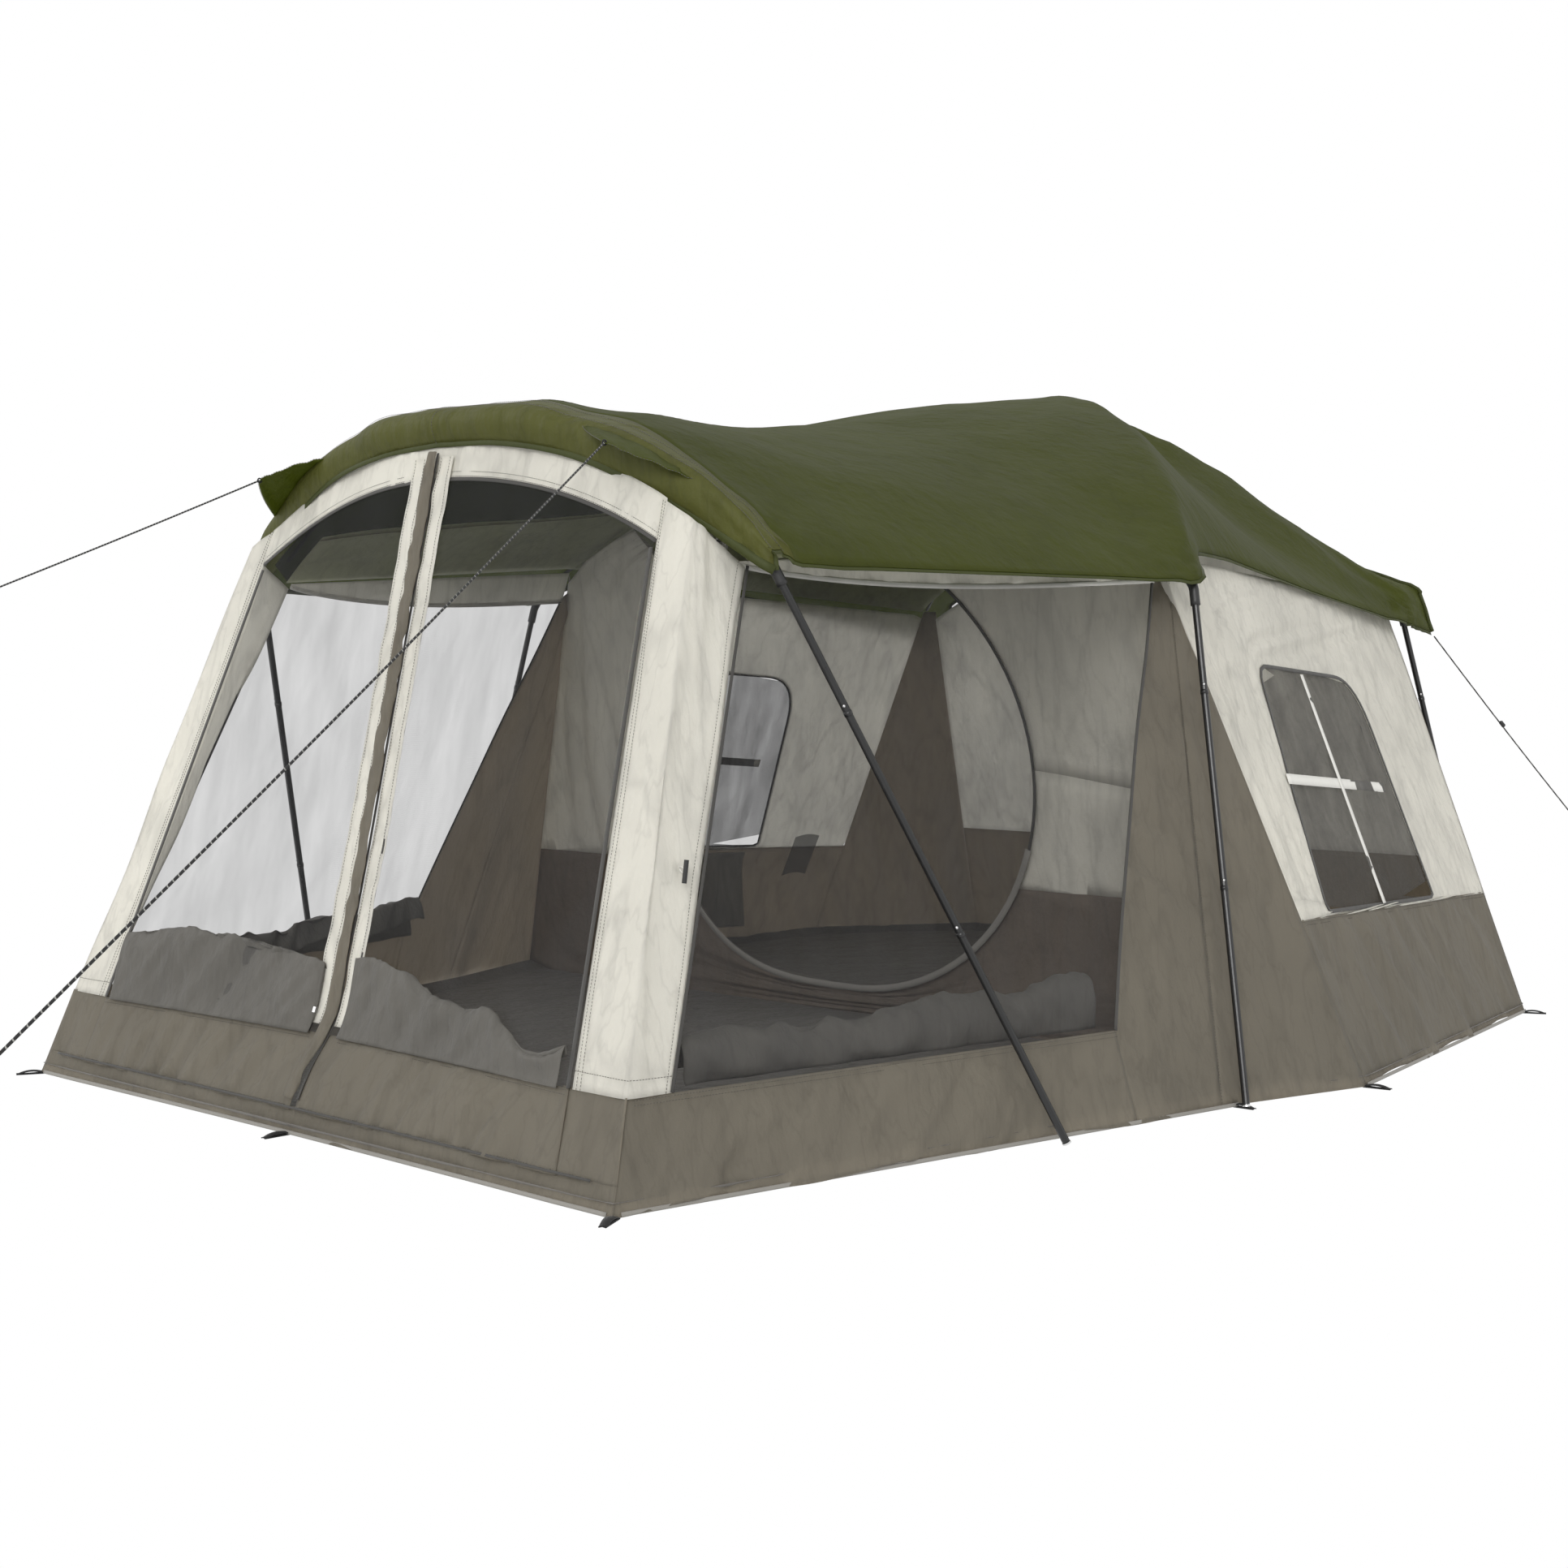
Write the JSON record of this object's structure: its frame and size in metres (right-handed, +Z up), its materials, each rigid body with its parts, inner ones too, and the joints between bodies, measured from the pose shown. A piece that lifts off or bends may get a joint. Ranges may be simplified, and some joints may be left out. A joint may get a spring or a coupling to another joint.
{
  "type": "screen house",
  "caption": "Family cabin tent with a zipped mesh front room, a sleeping room behind a zipped divider, an olive rain fly and pole legs outside the walls.",
  "frame": {"origin": "on the ground, at the centre of the footprint with its stake tabs, guy lines left out", "axes": "+X to the tent's right as seen by someone facing the zipped front, +Y from the zipped front to the rear wall, +Z up"},
  "size_m": [3.6184, 6.6182, 2.1199],
  "materials": {
    "taupe_polyester": "matte woven polyester",
    "cream_polyester": "matte woven polyester",
    "olive_polyester": "coated polyester with a soft sheen",
    "grey_polyester": "matte coated polyester",
    "insect_mesh": "fine knitted insect mesh",
    "floor_cloth": "coated polyethylene cloth",
    "black_steel": "gloss black enamel on steel tube",
    "grey_fibreglass": "pultruded fibreglass, satin",
    "black_plastic": "satin moulded plastic",
    "bright_steel": "plated steel",
    "black_cord": "braided cord"
  },
  "bodies": {
    "tent": {"groundsheet": "floor_cloth", "front_sill": "taupe_polyester", "front_arch": "cream_polyester", "divider_wall": "cream_polyester", "rear_wall": "cream_polyester", "ceiling": "taupe_polyester", "rain_fly": "olive_polyester", "front_hoop": "grey_fibreglass", "roof_pole_over": "grey_fibreglass", "roof_pole_under": "grey_fibreglass", "front_guy_line_right": "black_cord", "front_guy_line_left": "black_cord", "rear_guy_line_right": "black_cord", "corner_panel_left": "cream_polyester", "side_screen_left": "insect_mesh", "side_wall_left": "taupe_polyester", "window_wall_left": "cream_polyester", "window_screen_left": "insect_mesh", "front_leg_upper_left": "black_steel", "front_leg_middle_left": "black_steel", "front_leg_lower_left": "black_steel", "front_foot_pin_left": "bright_steel", "middle_leg_upper_left": "black_steel", "middle_leg_middle_left": "black_steel", "middle_leg_lower_left": "black_steel", "middle_foot_pin_left": "bright_steel", "rear_leg_upper_left": "black_steel", "rear_leg_middle_left": "black_steel", "rear_leg_lower_left": "black_steel", "rear_foot_pin_left": "bright_steel", "corner_panel_right": "cream_polyester", "side_screen_right": "insect_mesh", "side_wall_right": "taupe_polyester", "window_wall_right": "cream_polyester", "window_screen_right": "insect_mesh", "front_leg_upper_right": "black_steel", "front_leg_middle_right": "black_steel", "front_leg_lower_right": "black_steel", "front_foot_pin_right": "bright_steel", "middle_leg_upper_right": "black_steel", "middle_leg_middle_right": "black_steel", "middle_leg_lower_right": "black_steel", "middle_foot_pin_right": "bright_steel", "rear_leg_upper_right": "black_steel", "rear_leg_middle_right": "black_steel", "rear_leg_lower_right": "black_steel", "rear_foot_pin_right": "bright_steel"},
    "corner_toggle_left": {"corner_toggle_left": "black_plastic"},
    "corner_toggle_right": {"corner_toggle_right": "black_plastic"},
    "divider_door": {"divider_door": "insect_mesh"},
    "door_zip_slider": {"door_zip_slider": "bright_steel"},
    "front_door_left": {"front_door_left": "insect_mesh"},
    "front_door_right": {"front_door_right": "insect_mesh"},
    "gear_pocket": {"gear_pocket": "insect_mesh"},
    "guy_line_slider": {"guy_line_slider": "black_plastic"},
    "side_storm_flap_left": {"side_storm_flap_left": "grey_polyester"},
    "side_storm_flap_right": {"side_storm_flap_right": "grey_polyester"},
    "window_storm_flap_left": {"window_storm_flap_left": "grey_polyester"},
    "window_storm_flap_right": {"window_storm_flap_right": "grey_polyester"}
  },
  "joints": [
    {"name": "front_door_hinge_left", "type": "hinge", "parent": "tent", "child": "front_door_left", "pos_m": [-0.8991, -1.9779, 0.7], "axis": [0.1281, 0.3301, 0.9352], "range_deg": [-80, 0]},
    {"name": "front_door_hinge_right", "type": "hinge", "parent": "tent", "child": "front_door_right", "pos_m": [0.8991, -1.9779, 0.7], "axis": [-0.1281, 0.3301, 0.9352], "range_deg": [0, 80]},
    {"name": "divider_door_hinge", "type": "hinge", "parent": "tent", "child": "divider_door", "pos_m": [-0.902, -0.048, 0.85], "axis": [0, -0.1772, 0.9842], "range_deg": [-40, 75]},
    {"name": "door_zip_slide", "type": "slide", "parent": "tent", "child": "door_zip_slider", "axis": [0, 0.3329, 0.943], "range_m": [0, 1.2]},
    {"name": "guy_line_slide", "type": "slide", "parent": "tent", "child": "guy_line_slider", "axis": [0.2667, 0.6828, -0.6802], "range_m": [-0.15, 0.3]},
    {"name": "side_storm_flap_fold_left", "type": "hinge", "parent": "tent", "child": "side_storm_flap_left", "pos_m": [-1.1351, -1.945, 0.242], "axis": [-0.2214, 0.9752, 0], "range_deg": [0, 75]},
    {"name": "window_storm_flap_fold_left", "type": "hinge", "parent": "tent", "child": "window_storm_flap_left", "pos_m": [-1.5118, 0.2843, 0.43], "axis": [0.106, 0.994, -0.0269], "range_deg": [-60, 0]},
    {"name": "corner_toggle_turn_left", "type": "hinge", "parent": "tent", "child": "corner_toggle_left", "pos_m": [-1.0716, -1.896, 0.7], "axis": [-0.9752, -0.2214, 0], "range_deg": [-90, 90]},
    {"name": "side_storm_flap_fold_right", "type": "hinge", "parent": "tent", "child": "side_storm_flap_right", "pos_m": [1.1351, -1.945, 0.242], "axis": [0.2214, 0.9752, 0], "range_deg": [-75, 0]},
    {"name": "window_storm_flap_fold_right", "type": "hinge", "parent": "tent", "child": "window_storm_flap_right", "pos_m": [1.5118, 0.2843, 0.43], "axis": [-0.106, 0.994, -0.0269], "range_deg": [0, 60]},
    {"name": "corner_toggle_turn_right", "type": "hinge", "parent": "tent", "child": "corner_toggle_right", "pos_m": [1.0716, -1.896, 0.7], "axis": [0.9752, -0.2214, 0], "range_deg": [-90, 90]},
    {"name": "gear_pocket_swing", "type": "hinge", "parent": "tent", "child": "gear_pocket", "pos_m": [-1.4031, 1.2627, 0.47], "axis": [0.1101, 0.9939, 0], "range_deg": [-60, 0]}
  ]
}
